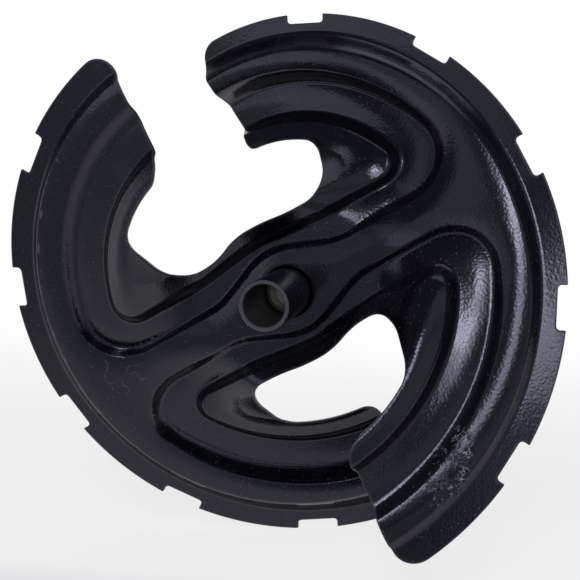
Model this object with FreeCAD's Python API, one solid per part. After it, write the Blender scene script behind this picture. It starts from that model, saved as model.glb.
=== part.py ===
import FreeCAD, Part
import math
import os

# Auger of a two-stage snow thrower, millimetres.
# One pressed steel disc, slit twice and twisted into a two-start spiral, is welded on a hub tube.
# The hub axis is Y. Seen along +Y, X points right and Z up, and Y = 0 is the middle of the spiral.

# Driving dimensions: twisted disc
OUTER_RADIUS = 152.4
SHEET = 2.6
WEB_ANGLE = 30.5
RIM_LEAD = 306.9
CORE_LEAD = 276.5
TWIST_START_RADIUS = 48.0
TWIST_FULL_RADIUS = 86.0

# Driving dimensions: pressed levels, as heights of the front face along Y
HUB_LEVEL = -6.5
BAND_LEVEL = -9.5
BAND_END_RISE = 3.0
BAND_BLEND_START = 40.0
BAND_BLEND_END = 125.0
GROOVE_LEVEL = -2.0
GROOVE_END_DROP = 4.7
FLANGE_LEVEL = -19.0

# Driving dimensions: plan of the rim wall, the groove wall and the flange crease
RIM_WALL_RADIUS = 137.0
RIM_WALL_WIDTH = 7.6
GROOVE_RADIUS = 117.0
GROOVE_WEB_HALF_WIDTH = 11.3
GROOVE_HUB_BULGE = 12.7
GROOVE_CORNER = 32.0
GROOVE_WALL_WIDTH = 5.2
CREASE_RADIUS = 95.5
CREASE_WEB_HALF_WIDTH = 25.5
CREASE_HUB_BULGE = 4.2
CREASE_CORNER = 17.0
FLANGE_ROOT_WIDTH = 5.0
FLANGE_ROOT_SHARE = 0.45
HUB_BULGE_REACH = 45.0

# Driving dimensions: windows, slits and rim notches
WINDOW_RADIUS = 81.5
WINDOW_HALF_LENGTH = 49.5
WINDOW_HUB_HALF_WIDTH = 39.7
WINDOW_NEAR_HALF_WIDTH = 33.3
WINDOW_FAR_HALF_WIDTH = 37.2
WINDOW_CORNER_SHARE = 0.51
SLIT_WIDTH_AT_WINDOW = 10.8
SLIT_WIDTH_AT_RIM = 0.8
NEAR_HEEL_RADIUS = 15.0
FAR_HEEL_RADIUS = 8.0
TIP_RADIUS = 12.0
NOTCH_COUNT = 5
NOTCH_PITCH = 30.57
NOTCH_WIDTH = 22.6
NOTCH_FLOOR_RADIUS = 147.0
NOTCH_CORNER = 2.0

# Driving dimensions: hub
TUBE_DIAMETER = 27.0
TUBE_BORE = 22.4
TUBE_LENGTH = 114.3
SLEEVE_BORE = 19.3
SLEEVE_FRONT = -9.0
SLEEVE_CLEARANCE = 0.05
COLLAR_CLEARANCE = 0.15
COLLAR_ENTRY = 1.4
COLLAR_DEPTH = 12.0
WELD_LEG = 4.0
PIN_HOLE = 6.8
PIN_FROM_END = 12.0

# Folds at the top and foot of a wall, as shares of its width from its middle line
WALL_FOLDS = (-0.5, 0.5)
ROOT_FOLDS = (-0.3, 0.7)
WALL_ANGLE = 58.0

# Stations along each fold line
WEB_STATIONS = 4
CORNER_STATIONS = 2
RIBBON_STATIONS = 6
DEGREE = 3
EDGE_MARGIN = 2.0
NEAR = 0.05

# Derived sizes
RIM_RISE = RIM_LEAD / (2 * math.pi)
CORE_RISE = CORE_LEAD / (2 * math.pi)
QUARTER_TURN = math.pi / 2
BEND_SHIFT = SHEET * math.tan(math.radians(WALL_ANGLE / 2))
COLLAR_RADIUS = TUBE_DIAMETER / 2 + COLLAR_CLEARANCE
COLLAR_BACK = HUB_LEVEL + COLLAR_DEPTH
SHEET_REACH = OUTER_RADIUS + EDGE_MARGIN
DEEP = 2 * OUTER_RADIUS
HUB_AXIS = FreeCAD.Vector(0, 1, 0)
ORIGIN = FreeCAD.Vector(0, 0, 0)


def ramp(share):
    share = min(max(share, 0.0), 1.0)
    return share * share * (3 - 2 * share)


class StepLine:
    """D-shaped line round a window: beside the web with a bulge at the hub, then a corner, then the rim."""

    def __init__(self, half_width, bulge, radius, corner):
        self.half_width = half_width
        self.bulge = bulge
        self.radius = radius
        self.corner = corner

    def web_edge(self, across):
        return self.half_width + self.bulge * (1 - ramp(abs(across) / HUB_BULGE_REACH))

    def depth(self, radius, turn):
        """How far a point lies inside the line, towards the window."""
        beside_web = abs(radius * math.sin(turn)) - self.web_edge(radius * math.cos(turn))
        inside_rim = self.radius - radius
        if beside_web >= self.corner or inside_rim >= self.corner:
            return min(beside_web, inside_rim)
        return self.corner - math.hypot(self.corner - beside_web, self.corner - inside_rim)

    def moved_in(self, by):
        return StepLine(self.half_width + by, self.bulge, self.radius - by, self.corner - by)

    def corner_centre(self):
        up = self.half_width + self.corner
        return math.sqrt((self.radius - self.corner) ** 2 - up ** 2), up

    def web_part(self):
        """Plan points from the hub to the middle of the corner."""
        across, up = self.corner_centre()
        points = [across * step / WEB_STATIONS for step in range(WEB_STATIONS)]
        points = [(x, self.web_edge(x)) for x in points]
        sweep = (QUARTER_TURN + math.atan2(up, across)) / 2
        return points + self.corner_arc(-QUARTER_TURN, sweep)

    def ribbon_part(self):
        """Plan points from the middle of the corner to the slit."""
        across, up = self.corner_centre()
        end = math.atan2(up, across)
        sweep = (QUARTER_TURN + end) / 2
        arc = rim_arc(self.radius, end, QUARTER_TURN, RIBBON_STATIONS)
        return self.corner_arc(end - sweep, sweep)[:-1] + arc

    def corner_arc(self, start, sweep):
        across, up = self.corner_centre()
        angles = [start + sweep * step / CORNER_STATIONS for step in range(CORNER_STATIONS + 1)]
        return [(across + self.corner * math.cos(a), up + self.corner * math.sin(a)) for a in angles]


def rim_arc(radius, start, end, steps):
    angles = [start + (end - start) * step / steps for step in range(steps + 1)]
    return [(radius * math.cos(a), radius * math.sin(a)) for a in angles]


GROOVE_LINE = StepLine(GROOVE_WEB_HALF_WIDTH, GROOVE_HUB_BULGE, GROOVE_RADIUS, GROOVE_CORNER)
CREASE_LINE = StepLine(CREASE_WEB_HALF_WIDTH, CREASE_HUB_BULGE, CREASE_RADIUS, CREASE_CORNER)
WINDOW_SPARE = WINDOW_FAR_HALF_WIDTH + WINDOW_RADIUS - WINDOW_HALF_LENGTH
WINDOW_LOBE = math.sqrt(
    WINDOW_SPARE ** 2 + WINDOW_RADIUS ** 2 - WINDOW_FAR_HALF_WIDTH ** 2 - WINDOW_HALF_LENGTH ** 2
) - WINDOW_SPARE
WINDOW_BULGE = WINDOW_HUB_HALF_WIDTH - WINDOW_FAR_HALF_WIDTH
WINDOW_LINE = StepLine(WINDOW_FAR_HALF_WIDTH, WINDOW_BULGE, WINDOW_RADIUS, WINDOW_LOBE)


def front_height(radius, turn):
    """Y of the front face; turn is the angle from the middle of a ribbon."""
    twist = ramp((radius - TWIST_START_RADIUS) / (TWIST_FULL_RADIUS - TWIST_START_RADIUS))
    end_share = turn / QUARTER_TURN * twist
    blend = ramp((radius - BAND_BLEND_START) / (BAND_BLEND_END - BAND_BLEND_START))
    band = HUB_LEVEL + (BAND_LEVEL - HUB_LEVEL) * blend - BAND_END_RISE * end_share ** 2
    groove = GROOVE_LEVEL + GROOVE_END_DROP * end_share

    groove_share = ramp(GROOVE_LINE.depth(radius, turn) / GROOVE_WALL_WIDTH - WALL_FOLDS[0])
    in_flange = CREASE_LINE.depth(radius, turn)
    root_share = ramp(in_flange / FLANGE_ROOT_WIDTH - ROOT_FOLDS[0])
    to_window = max(-WINDOW_LINE.depth(radius, turn), 0.0)
    slope_share = in_flange / (in_flange + to_window) if in_flange > 0 else 0.0
    flange_share = FLANGE_ROOT_SHARE * root_share + (1 - FLANGE_ROOT_SHARE) * slope_share

    core = CORE_RISE * turn * twist + band
    core += (groove - band) * groove_share + (FLANGE_LEVEL - groove) * flange_share
    rim_share = ramp((radius - RIM_WALL_RADIUS) / RIM_WALL_WIDTH - WALL_FOLDS[0])
    return core + (RIM_RISE * turn - core) * rim_share


def fold_lines(shift):
    """Plan points of every fold, from the rim and the web's middle inwards to past the window's edge.

    The shift moves the folds of a wall sideways, as they lie on the back of a bent sheet."""
    across, up = GROOVE_LINE.corner_centre()
    rims = [RIM_WALL_RADIUS + share * RIM_WALL_WIDTH - shift for share in WALL_FOLDS]
    web_end = rims[0]
    middle = [across * step / WEB_STATIONS for step in range(WEB_STATIONS)]
    middle += [across + (web_end - across) * step / CORNER_STATIONS for step in range(CORNER_STATIONS + 1)]
    lines = [GROOVE_LINE.moved_in(share * GROOVE_WALL_WIDTH - shift) for share in WALL_FOLDS]
    lines += [CREASE_LINE.moved_in(share * FLANGE_ROOT_WIDTH + shift) for share in ROOT_FOLDS]
    lines.append(WINDOW_LINE.moved_in(EDGE_MARGIN))
    turn_end = math.atan2(up, across)
    web = [[(x, 0.0) for x in middle]] + [line.web_part() for line in lines]
    ribbon = []
    for radius in [SHEET_REACH] + rims[::-1]:
        arc = rim_arc(radius, 0.0, turn_end, CORNER_STATIONS)[:-1]
        ribbon.append(arc + rim_arc(radius, turn_end, QUARTER_TURN, RIBBON_STATIONS))
    ribbon += [line.ribbon_part() for line in lines]
    return web, ribbon


def lifted(plan, levels, rise, side):
    """Space points at plan points, with the height of the front face at level points plus a rise.

    The side is 1 above the web and -1 below it."""
    points = []
    for (across, up), (level_across, level_up) in zip(plan, levels):
        height = front_height(math.hypot(level_across, level_up), math.atan2(side * level_up, level_across))
        points.append(FreeCAD.Vector(across, height + rise, side * up))
    return points


def strip(first, second):
    """Face between two fold lines, straight across and smooth along."""
    inner = len(first) - DEGREE - 1
    knots = [float(index) for index in range(inner + 2)]
    mults = [DEGREE + 1] + [1] * inner + [DEGREE + 1]
    surface = Part.BSplineSurface()
    surface.buildFromPolesMultsKnots(
        [first, second], [2, 2], mults, [0.0, 1.0], knots, False, False, 1, DEGREE
    )
    return surface.toShape()


def slit_face(front, back):
    corners = [line[-1] for line in front] + [line[-1] for line in reversed(back)]
    return Part.Face(Part.makePolygon(corners + corners[:1]))


def turned(shape, degrees):
    """Copy turned about the hub, from the web towards the upper slit for positive angles."""
    copy = shape.copy()
    copy.rotate(ORIGIN, HUB_AXIS, -degrees)
    return copy


def pressed_sheet():
    """The twisted sheet with all its folds, before its outline is cut."""
    faces = []
    fronts = fold_lines(0.0)
    backs = fold_lines(BEND_SHIFT)
    for side in (1, -1):
        for front_plan, back_plan in zip(fronts, backs):
            front = [lifted(line, line, 0.0, side) for line in front_plan]
            back = [lifted(line, level, SHEET, side) for line, level in zip(back_plan, front_plan)]
            for lines in (front, back):
                faces += [strip(first, second) for first, second in zip(lines, lines[1:])]
            faces.append(strip(front[-1], back[-1]))
        faces.append(strip(front[0], back[0]))
        faces.append(slit_face(front, back))
    faces += [turned(face, 180) for face in faces]
    shell = Part.Shell(faces)
    shell.sewShape()
    solid = Part.Solid(Part.Shell(shell.Faces))
    if solid.Volume < 0:
        solid.reverse()
    return solid


def plan_point(across, up):
    return FreeCAD.Vector(across, -DEEP / 2, up)


def prism(edges):
    return Part.Face(Part.Wire(edges)).extrude(HUB_AXIS * DEEP)


def polygon_prism(points):
    corners = [plan_point(across, up) for across, up in points]
    return prism(Part.makePolygon(corners + corners[:1]).Edges)


def upright_edges(solid, wanted):
    """Edges along the hub axis whose plan position is wanted."""
    found = []
    for edge in solid.Edges:
        first, last = edge.Vertexes[0].Point, edge.Vertexes[-1].Point
        upright = math.hypot(first.x - last.x, first.z - last.z) < NEAR
        if upright and len(edge.Vertexes) == 2 and wanted(first):
            found.append(edge)
    return found


def s_curve(start, end):
    """Two equal arcs between two plan points, which run along the web at both."""
    run, rise = end[0] - start[0], end[1] - start[1]
    radius = (run ** 2 + rise ** 2) / (4 * rise)
    slope = math.atan2(rise, run)
    lead = (radius * math.sin(slope), radius * (1 - math.cos(slope)))
    first_top = plan_point(start[0] + lead[0], start[1] + lead[1])
    middle = plan_point(start[0] + run / 2, start[1] + rise / 2)
    second_top = plan_point(end[0] - lead[0], end[1] - lead[1])
    first = Part.Arc(plan_point(*start), first_top, middle)
    second = Part.Arc(middle, second_top, plan_point(*end))
    return [first.toShape(), second.toShape()]


def window_prism():
    """Upper window: a bulge at the hub beside the web, two rounded lobes and an arc along the ribbons."""
    side = math.sqrt(WINDOW_RADIUS ** 2 - WINDOW_HALF_LENGTH ** 2)
    corner = WINDOW_CORNER_SHARE * (side - WINDOW_FAR_HALF_WIDTH)
    reach = WINDOW_HALF_LENGTH - corner - EDGE_MARGIN
    near_foot = (-reach, WINDOW_NEAR_HALF_WIDTH)
    bulge_top = (0, WINDOW_HUB_HALF_WIDTH)
    far_foot = (reach, WINDOW_FAR_HALF_WIDTH)
    near_low = plan_point(-WINDOW_HALF_LENGTH, WINDOW_NEAR_HALF_WIDTH)
    near_high = plan_point(-WINDOW_HALF_LENGTH, side)
    far_low = plan_point(WINDOW_HALF_LENGTH, WINDOW_FAR_HALF_WIDTH)
    far_high = plan_point(WINDOW_HALF_LENGTH, side)
    edges = [
        Part.makeLine(near_low, plan_point(*near_foot)),
        *s_curve(near_foot, bulge_top),
        *s_curve(bulge_top, far_foot),
        Part.makeLine(plan_point(*far_foot), far_low),
        Part.makeLine(far_low, far_high),
        Part.Arc(far_high, plan_point(0, WINDOW_RADIUS), near_high).toShape(),
        Part.makeLine(near_high, near_low),
    ]
    window = prism(edges)
    corners = upright_edges(window, lambda point: abs(abs(point.x) - WINDOW_HALF_LENGTH) < NEAR)
    return window.makeFillet(corner, corners)


def slit_prism():
    inner = SLIT_WIDTH_AT_WINDOW / 2
    outer = SLIT_WIDTH_AT_RIM / 2
    start = WINDOW_RADIUS - EDGE_MARGIN
    return polygon_prism([(-inner, start), (inner, start), (outer, SHEET_REACH), (-outer, SHEET_REACH)])


def notch_prism():
    half = NOTCH_WIDTH / 2
    floor = NOTCH_FLOOR_RADIUS
    notch = polygon_prism([(floor, -half), (SHEET_REACH, -half), (SHEET_REACH, half), (floor, half)])
    corners = upright_edges(notch, lambda point: abs(point.x - floor) < NEAR)
    return notch.makeFillet(NOTCH_CORNER, corners)


def beside_slit(radius, far):
    """Picks the slit's corners at a radius, on the far or near ends of the two ribbons."""
    def wanted(point):
        at_radius = abs(math.hypot(point.x, point.z) - radius) < NEAR
        return at_radius and abs(point.x) < SLIT_WIDTH_AT_WINDOW and (point.x * point.z > 0) == far
    return wanted


def disc_plan():
    """Plan of the disc as a tall prism: rim, windows, slits with rounded ends and notches."""
    start = FreeCAD.Vector(0, -DEEP / 2, 0)
    plan = Part.makeCylinder(OUTER_RADIUS, DEEP, start, HUB_AXIS)
    opening = window_prism().fuse(slit_prism()).removeSplitter()
    plan = plan.cut([opening, turned(opening, 180)])
    roundings = [
        (TIP_RADIUS, OUTER_RADIUS, True),
        (TIP_RADIUS, OUTER_RADIUS, False),
        (FAR_HEEL_RADIUS, WINDOW_RADIUS, True),
        (NEAR_HEEL_RADIUS, WINDOW_RADIUS, False),
    ]
    for size, radius, far in roundings:
        plan = plan.makeFillet(size, upright_edges(plan, beside_slit(radius, far)))
    first = -(NOTCH_COUNT - 1) / 2
    notches = [turned(notch_prism(), (first + index) * NOTCH_PITCH) for index in range(NOTCH_COUNT)]
    notches += [turned(notch, 180) for notch in notches]
    return plan.cut(notches)


def collar():
    """Collar drawn backwards out of the web, around the hub tube, before its hole is cut."""
    base = FreeCAD.Vector(0, HUB_LEVEL + SHEET / 2, 0)
    return Part.makeCylinder(COLLAR_RADIUS + SHEET, COLLAR_DEPTH - SHEET / 2, base, HUB_AXIS)


def collar_hole():
    """Hole for the hub tube with a wide entry at the front."""
    hole = Part.makeCylinder(COLLAR_RADIUS, DEEP, FreeCAD.Vector(0, -DEEP / 2, 0), HUB_AXIS)
    mouth = FreeCAD.Vector(0, HUB_LEVEL - EDGE_MARGIN, 0)
    depth = COLLAR_ENTRY + EDGE_MARGIN
    return hole.fuse(Part.makeCone(COLLAR_RADIUS + depth, COLLAR_RADIUS, depth, mouth, HUB_AXIS))


def spiral_flight():
    flight = pressed_sheet().common(disc_plan()).fuse(collar()).cut(collar_hole())
    return turned(flight, WEB_ANGLE)


def ring(outer_radius, inner_radius, start, length):
    base = FreeCAD.Vector(0, start, 0)
    outer = Part.makeCylinder(outer_radius, length, base, HUB_AXIS)
    return outer.cut(Part.makeCylinder(inner_radius, length, base, HUB_AXIS))


def pin_hole():
    """Cross hole for the shear pin, in line with the web, near the far end of the tube."""
    along = TUBE_LENGTH / 2 - PIN_FROM_END
    base = FreeCAD.Vector(-TUBE_DIAMETER, along, 0)
    hole = Part.makeCylinder(PIN_HOLE / 2, 2 * TUBE_DIAMETER, base, FreeCAD.Vector(1, 0, 0))
    return turned(hole, WEB_ANGLE)


def hub_tube():
    return ring(TUBE_DIAMETER / 2, TUBE_BORE / 2, -TUBE_LENGTH / 2, TUBE_LENGTH).cut(pin_hole())


def axle_sleeve():
    length = TUBE_LENGTH / 2 - SLEEVE_FRONT
    return ring(TUBE_BORE / 2 - SLEEVE_CLEARANCE, SLEEVE_BORE / 2, SLEEVE_FRONT, length).cut(pin_hole())


def collar_weld():
    """Fillet weld between the back rim of the collar and the tube."""
    inner = TUBE_DIAMETER / 2
    points = [(inner, 0), (inner + WELD_LEG, 0), (inner, WELD_LEG), (inner, 0)]
    corners = [FreeCAD.Vector(across, COLLAR_BACK + along, 0) for across, along in points]
    return Part.Face(Part.makePolygon(corners)).revolve(ORIGIN, HUB_AXIS, 360)


os.makedirs("parts", exist_ok=True)
pieces = {
    "spiral_flight": spiral_flight(),
    "hub_tube": hub_tube(),
    "axle_sleeve": axle_sleeve(),
    "collar_weld": collar_weld(),
}
for name, shape in pieces.items():
    shape.exportStep("parts/" + name + ".step")
    box = shape.BoundBox
    print(name, len(shape.Solids), "solid,", round(shape.Volume), "mm3, valid", shape.isValid())
    print("   x", round(box.XMin, 2), round(box.XMax, 2), "y", round(box.YMin, 2), round(box.YMax, 2))
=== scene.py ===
# %% [markdown]
# # A snow blower auger in gloss black powder coat
# The real part starts as one flat steel disc. It is cut, pressed in a die and twisted, so that each half
# becomes a spiral ribbon, and a hub tube is welded through its middle. This lesson follows that order:
# cut the blank, give it thickness, break its edges, press and twist it, then make the hub and the paint.
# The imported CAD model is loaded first, because every piece has to sit exactly where the CAD says.

# %% Load the frame
import bpy
import math
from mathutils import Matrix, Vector, geometry, kdtree


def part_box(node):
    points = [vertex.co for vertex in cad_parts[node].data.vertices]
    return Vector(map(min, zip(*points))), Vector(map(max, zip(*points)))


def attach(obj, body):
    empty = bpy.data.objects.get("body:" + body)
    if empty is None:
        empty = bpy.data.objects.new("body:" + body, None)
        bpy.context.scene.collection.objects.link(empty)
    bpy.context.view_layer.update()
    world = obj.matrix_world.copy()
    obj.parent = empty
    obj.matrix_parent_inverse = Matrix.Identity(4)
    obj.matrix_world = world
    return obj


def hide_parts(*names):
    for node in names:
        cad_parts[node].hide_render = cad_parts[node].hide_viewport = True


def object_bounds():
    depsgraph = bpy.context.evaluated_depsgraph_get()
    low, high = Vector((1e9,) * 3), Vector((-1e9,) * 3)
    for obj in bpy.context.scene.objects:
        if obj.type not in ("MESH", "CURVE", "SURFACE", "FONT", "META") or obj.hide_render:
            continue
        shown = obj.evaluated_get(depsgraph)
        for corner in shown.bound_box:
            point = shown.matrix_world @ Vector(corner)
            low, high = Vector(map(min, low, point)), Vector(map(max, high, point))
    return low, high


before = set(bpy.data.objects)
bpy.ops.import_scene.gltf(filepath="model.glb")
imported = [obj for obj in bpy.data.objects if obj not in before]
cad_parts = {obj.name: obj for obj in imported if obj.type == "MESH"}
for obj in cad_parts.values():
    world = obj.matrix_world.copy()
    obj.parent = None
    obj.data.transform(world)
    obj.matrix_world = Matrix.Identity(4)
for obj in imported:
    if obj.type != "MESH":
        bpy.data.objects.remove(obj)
cad_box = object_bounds()
bpy.ops.object.select_all(action="DESELECT")
MM = 0.001
print("CAD nodes:", sorted(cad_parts))

# %% [markdown]
# ## The outline of the blank
# Laid flat, the blank is a disc with two windows, each joined to the rim by a slit. So its edge is a single
# loop that runs round both halves, and only the hub hole is separate. The web lies along X here and the
# slits along Z. One function draws an end of a ribbon, and both ends use it, because they differ only in
# the heel's radius and the web's width. The second half is the first one turned by half a turn.

# %% Sizes of the blank, in millimetres
OUTER_RADIUS = 152.4
SHEET = 2.6
WINDOW_RADIUS = 81.5
WINDOW_HALF_LENGTH = 49.5
WINDOW_HUB_HALF_WIDTH = 39.7
WINDOW_NEAR_HALF_WIDTH = 33.3
WINDOW_FAR_HALF_WIDTH = 37.2
WINDOW_CORNER = 14.05
BULGE_CLEARANCE = 2.0
BULGE_REACH = WINDOW_HALF_LENGTH - WINDOW_CORNER - BULGE_CLEARANCE
SLIT_HALF_AT_WINDOW = 5.4
SLIT_HALF_AT_RIM = 0.4
FAR_HEEL_RADIUS = 8.0
NEAR_HEEL_RADIUS = 15.0
TIP_RADIUS = 12.0
NOTCH_COUNT = 5
NOTCH_PITCH = math.radians(30.57)
NOTCH_HALF_WIDTH = 11.3
NOTCH_FLOOR_RADIUS = 147.0
NOTCH_CORNER = 2.0
TUBE_RADIUS = 13.5
COLLAR_CLEARANCE = 0.15
COLLAR_RADIUS = TUBE_RADIUS + COLLAR_CLEARANCE
COLLAR_BEND = 1.4
COLLAR_FOOT = 1.0
HUB_RING = COLLAR_RADIUS + SHEET + COLLAR_FOOT
HUB_STEPS = 72
NET_STEP = 1.35
SHORTEST_RUN = NET_STEP / 20
print("blank:", 2 * OUTER_RADIUS, "mm across and", SHEET, "mm thick")


# %% Arcs and straight runs
def arc(centre, radius, start, end):
    steps = max(2, math.ceil(abs(end - start) * radius / NET_STEP))
    angles = [start + (end - start) * step / steps for step in range(steps + 1)]
    return [(centre[0] + radius * math.cos(a), centre[1] + radius * math.sin(a)) for a in angles]


def spread(points):
    """The closed loop with its repeats dropped and its long straight runs divided."""
    loop = []
    for first, second in zip(points, points[1:] + points[:1]):
        run = math.dist(first, second)
        if run < SHORTEST_RUN:
            continue
        steps = max(1, round(run / NET_STEP))
        for step in range(steps):
            share = step / steps
            loop.append(tuple(a + (b - a) * share for a, b in zip(first, second)))
    return loop


# %% One end of a ribbon, from the middle of the web to the tip at the rim
def web_edge(across, half_width):
    """Two equal arcs lead from the bulge beside the hub to the web's width farther out."""
    rise = WINDOW_HUB_HALF_WIDTH - half_width
    bend = (BULGE_REACH ** 2 + rise ** 2) / (4 * rise)
    if across < BULGE_REACH / 2:
        return WINDOW_HUB_HALF_WIDTH - bend + math.sqrt(bend ** 2 - across ** 2)
    return half_width + bend - math.sqrt(bend ** 2 - max(BULGE_REACH - across, 0.0) ** 2)


def slit_half(up):
    share = (up - WINDOW_RADIUS) / (OUTER_RADIUS - WINDOW_RADIUS)
    return SLIT_HALF_AT_WINDOW + (SLIT_HALF_AT_RIM - SLIT_HALF_AT_WINDOW) * share


def ribbon_end(heel_radius, half_width):
    corner_across = WINDOW_HALF_LENGTH - WINDOW_CORNER
    low = half_width + WINDOW_CORNER
    high = math.sqrt((WINDOW_RADIUS - WINDOW_CORNER) ** 2 - corner_across ** 2)
    high_angle = math.atan2(high, corner_across)
    edge_steps = math.ceil(corner_across / NET_STEP)
    edge = [corner_across * step / edge_steps for step in range(edge_steps + 1)]

    heel_across = slit_half(WINDOW_RADIUS + heel_radius / 2) + heel_radius
    heel_up = math.sqrt((WINDOW_RADIUS + heel_radius) ** 2 - heel_across ** 2)
    heel_angle = math.atan2(heel_up, heel_across)
    tip_across = slit_half(OUTER_RADIUS - TIP_RADIUS) + TIP_RADIUS
    tip_up = math.sqrt((OUTER_RADIUS - TIP_RADIUS) ** 2 - tip_across ** 2)
    tip_angle = math.atan2(tip_up, tip_across)

    points = [(across, web_edge(across, half_width)) for across in edge]
    points += arc((corner_across, low), WINDOW_CORNER, -math.pi / 2, 0.0)
    points += arc((corner_across, high), WINDOW_CORNER, 0.0, high_angle)
    points += arc((0.0, 0.0), WINDOW_RADIUS, high_angle, heel_angle)
    points += arc((heel_across, heel_up), heel_radius, heel_angle + math.pi, math.pi)
    points += arc((tip_across, tip_up), TIP_RADIUS, math.pi, tip_angle)
    return points, tip_angle


# %% The notched rim between two tips
def notch(angle):
    """One notch from its upper to its lower side, turned to its place on the rim."""
    lip = math.sqrt(OUTER_RADIUS ** 2 - NOTCH_HALF_WIDTH ** 2)
    inner = NOTCH_FLOOR_RADIUS + NOTCH_CORNER
    side = NOTCH_HALF_WIDTH - NOTCH_CORNER
    points = [(lip, NOTCH_HALF_WIDTH)]
    points += arc((inner, side), NOTCH_CORNER, math.pi / 2, math.pi)
    points += arc((inner, -side), NOTCH_CORNER, math.pi, 1.5 * math.pi)
    points.append((lip, -NOTCH_HALF_WIDTH))
    turn_cos, turn_sin = math.cos(angle), math.sin(angle)
    return [(x * turn_cos - z * turn_sin, x * turn_sin + z * turn_cos) for x, z in points]


def notched_rim(tip_angle):
    half_angle = math.asin(NOTCH_HALF_WIDTH / OUTER_RADIUS)
    points = []
    angle = tip_angle
    for index in range(NOTCH_COUNT):
        middle = ((NOTCH_COUNT - 1) / 2 - index) * NOTCH_PITCH
        points += arc((0.0, 0.0), OUTER_RADIUS, angle, middle + half_angle)
        points += notch(middle)
        angle = middle - half_angle
    return points + arc((0.0, 0.0), OUTER_RADIUS, angle, -tip_angle)


far_end, tip_angle = ribbon_end(FAR_HEEL_RADIUS, WINDOW_FAR_HALF_WIDTH)
near_end, tip_angle = ribbon_end(NEAR_HEEL_RADIUS, WINDOW_NEAR_HALF_WIDTH)
half = far_end + notched_rim(tip_angle) + [(x, -z) for x, z in reversed(near_end)]
outline = spread(half + [(-x, -z) for x, z in half])
print("outline points:", len(outline))

# %% [markdown]
# ## The form of the pressing
# The press gives the sheet five levels: rim flange, ridge band, groove, window flange and flat hub. Each
# level is a height along the hub axis, and smooth ramps lead from one to the next. The twist then moves one
# end of each ribbon back and the other forward, fully at the rim and not at all near the hub. The form is
# written down before the sheet is made, because the sheet's points should lie in rows along its folds.

# %% Sizes of the pressing, in millimetres
RIM_LEAD = 306.9
CORE_LEAD = 276.5
RIM_RISE = RIM_LEAD / (2 * math.pi)
CORE_RISE = CORE_LEAD / (2 * math.pi)
TWIST_START_RADIUS = 48.0
TWIST_FULL_RADIUS = 86.0
HUB_LEVEL = -6.5
BAND_LEVEL = -9.5
BAND_END_RISE = 3.0
BAND_BLEND_START = 40.0
BAND_BLEND_END = 125.0
GROOVE_LEVEL = -2.0
GROOVE_END_DROP = 4.7
FLANGE_LEVEL = -19.0
RIM_WALL_RADIUS = 137.0
RIM_WALL_WIDTH = 7.4
RIM_WALL_SPREAD = 0.62
RIM_FAR_SPREAD = 0.28
GROOVE_WALL_WIDTH = 4.8
GROOVE_END_SPREAD = 6.0
FLANGE_ROOT_WIDTH = 6.0
FLANGE_ROOT_START = -0.3
FLANGE_ROOT_SHARE = 0.45
HUB_BULGE_REACH = 45.0
BAND_ROLL = 2.0
FLOOR_ROLL = 2.3
ROLL_WIDTH = 14.0
WEB_ANGLE = math.radians(30.5)
QUARTER_TURN = math.pi / 2
GROOVE_LINE = {"half_width": 11.3, "bulge": 12.7, "radius": 117.0, "corner": 32.0}
CREASE_LINE = {"half_width": 25.5, "bulge": 4.2, "radius": 95.5, "corner": 17.0}
WINDOW_LINE = {"half_width": 39.2, "bulge": 2.5, "radius": 79.5, "corner": 16.0}
SLOPE_STEP = 0.1
print("each half of the rim rises", RIM_LEAD / 2, "mm in half a turn")


# %% Height and slope of the front face
def ramp(share):
    share = min(max(share, 0.0), 1.0)
    return share * share * (3 - 2 * share)


def depth_inside(line, radius, turn):
    """How far a point lies inside a D-shaped fold line, towards the window."""
    across = abs(radius * math.cos(turn))
    bulge = line["bulge"] * (1 - ramp(across / HUB_BULGE_REACH))
    beside_web = abs(radius * math.sin(turn)) - line["half_width"] - bulge
    inside_rim = line["radius"] - radius
    corner = line["corner"]
    if beside_web >= corner or inside_rim >= corner:
        return min(beside_web, inside_rim)
    return corner - math.hypot(corner - beside_web, corner - inside_rim)


def roll(distance):
    """Share by which a band or floor falls back near its edge, as a stamped sheet is never quite flat."""
    return (1 - min(max(distance / ROLL_WIDTH, 0.0), 1.0)) ** 2


def front_height(radius, turn):
    twist = ramp((radius - TWIST_START_RADIUS) / (TWIST_FULL_RADIUS - TWIST_START_RADIUS))
    end_share = turn / QUARTER_TURN * twist
    blend = ramp((radius - BAND_BLEND_START) / (BAND_BLEND_END - BAND_BLEND_START))
    band = HUB_LEVEL + (BAND_LEVEL - HUB_LEVEL) * blend - BAND_END_RISE * end_share ** 2
    groove = GROOVE_LEVEL + GROOVE_END_DROP * end_share
    in_groove = depth_inside(GROOVE_LINE, radius, turn)
    band += BAND_ROLL * (roll(-in_groove) + roll(RIM_WALL_RADIUS - radius))
    groove += FLOOR_ROLL * roll(in_groove) * twist
    groove_wall = GROOVE_WALL_WIDTH + GROOVE_END_SPREAD * abs(end_share)
    groove_share = ramp(in_groove / groove_wall + 0.5)
    in_flange = depth_inside(CREASE_LINE, radius, turn)
    root_share = ramp(in_flange / FLANGE_ROOT_WIDTH - FLANGE_ROOT_START)
    to_window = max(-depth_inside(WINDOW_LINE, radius, turn), 0.0)
    slope_share = in_flange / (in_flange + to_window) if in_flange > 0 else 0.0
    flange_share = FLANGE_ROOT_SHARE * root_share + (1 - FLANGE_ROOT_SHARE) * slope_share

    core = CORE_RISE * turn * twist + band
    core += (groove - band) * groove_share + (FLANGE_LEVEL - groove) * flange_share
    rim_wall = RIM_WALL_WIDTH * (1 + RIM_WALL_SPREAD * end_share + RIM_FAR_SPREAD * end_share ** 2)
    rim_share = ramp((radius - RIM_WALL_RADIUS) / rim_wall + 0.5)
    return core + (RIM_RISE * turn - core) * rim_share


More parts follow.
